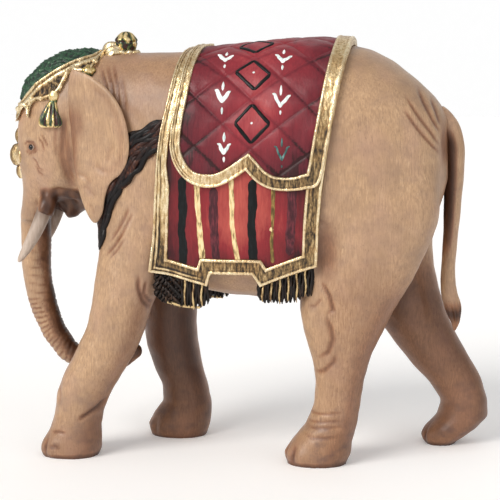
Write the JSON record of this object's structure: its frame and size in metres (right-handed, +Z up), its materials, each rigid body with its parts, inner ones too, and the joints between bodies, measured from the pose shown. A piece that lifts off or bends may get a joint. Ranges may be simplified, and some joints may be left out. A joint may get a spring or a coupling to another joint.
{
  "type": "elephant figurine",
  "caption": "Carved and painted wooden elephant, walking, with a fringed saddle cloth, a headstall and a low curled trunk.",
  "frame": {"origin": "on the floor, under the middle of the figure's box", "axes": "the elephant faces -X, +Z is up, and its left side faces -Y"},
  "size_m": [0.152, 0.0578, 0.131],
  "materials": {
    "stained_wood": "satin, stained and waxed",
    "ivory_paint": "satin paint",
    "crimson_glaze": "satin oil glaze",
    "gold_leaf": "burnished gold leaf",
    "green_paint": "satin paint",
    "umber_paint": "satin paint with gold lights",
    "dowel_wood": "raw"
  },
  "bodies": {
    "root": {"torso": "stained_wood", "head": "stained_wood", "trunk": "stained_wood", "ear_left": "stained_wood", "ear_right": "stained_wood", "tusk_left": "ivory_paint", "tusk_right": "ivory_paint", "leg_front_left": "stained_wood", "leg_front_right": "stained_wood", "leg_hind_left": "stained_wood", "leg_hind_right": "stained_wood", "tail": "stained_wood", "under_cloth": "crimson_glaze", "upper_cloth": "crimson_glaze", "upper_border": "gold_leaf", "frame_left": "gold_leaf", "frame_right": "gold_leaf", "fringe_front_left": "umber_paint", "fringe_front_right": "umber_paint", "fringe_rear_left": "umber_paint", "fringe_rear_right": "umber_paint", "head_cap": "green_paint", "headstall": "gold_leaf", "crown_base": "gold_leaf", "crown_ball": "gold_leaf", "side_tassel_left": "gold_leaf", "side_tassel_right": "gold_leaf", "poll_knot_left": "gold_leaf", "poll_knot_right": "gold_leaf", "frontlet": "gold_leaf", "breast_collar": "umber_paint", "neck_dowel": "dowel_wood", "trunk_dowel": "dowel_wood", "leg_dowels": "dowel_wood"}
  },
  "joints": []
}
